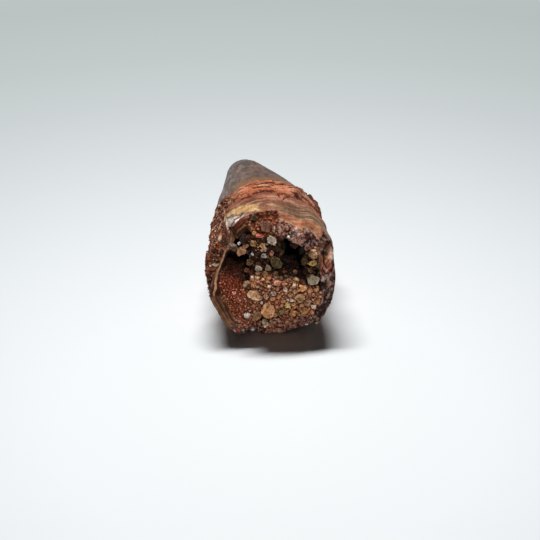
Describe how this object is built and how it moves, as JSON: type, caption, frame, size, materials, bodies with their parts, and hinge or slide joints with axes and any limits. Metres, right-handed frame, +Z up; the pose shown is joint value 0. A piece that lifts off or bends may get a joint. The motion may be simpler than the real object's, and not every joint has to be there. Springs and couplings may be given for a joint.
{
  "type": "fossil spinosaurus tooth",
  "caption": "Conical fossil tooth lying on its side: fluted crown with a worn tip, broken hollow root, hardened sandstone in the pulp cavity and a sandstone crust round the root.",
  "frame": {"origin": "centre of the footprint of the lying tooth, on the surface it rests on", "axes": "+Y along the tooth from the broken root to the tip, +Z up, +X to the right seen from the root"},
  "size_m": [0.0203, 0.0586, 0.0181],
  "materials": {
    "enamel_and_dentine": "satin",
    "fill_sandstone": "matte",
    "crust_sandstone": "matte"
  },
  "bodies": {
    "root": {"tooth": "enamel_and_dentine", "sandstone_fill": "fill_sandstone", "sandstone_crust": "crust_sandstone"}
  },
  "joints": []
}
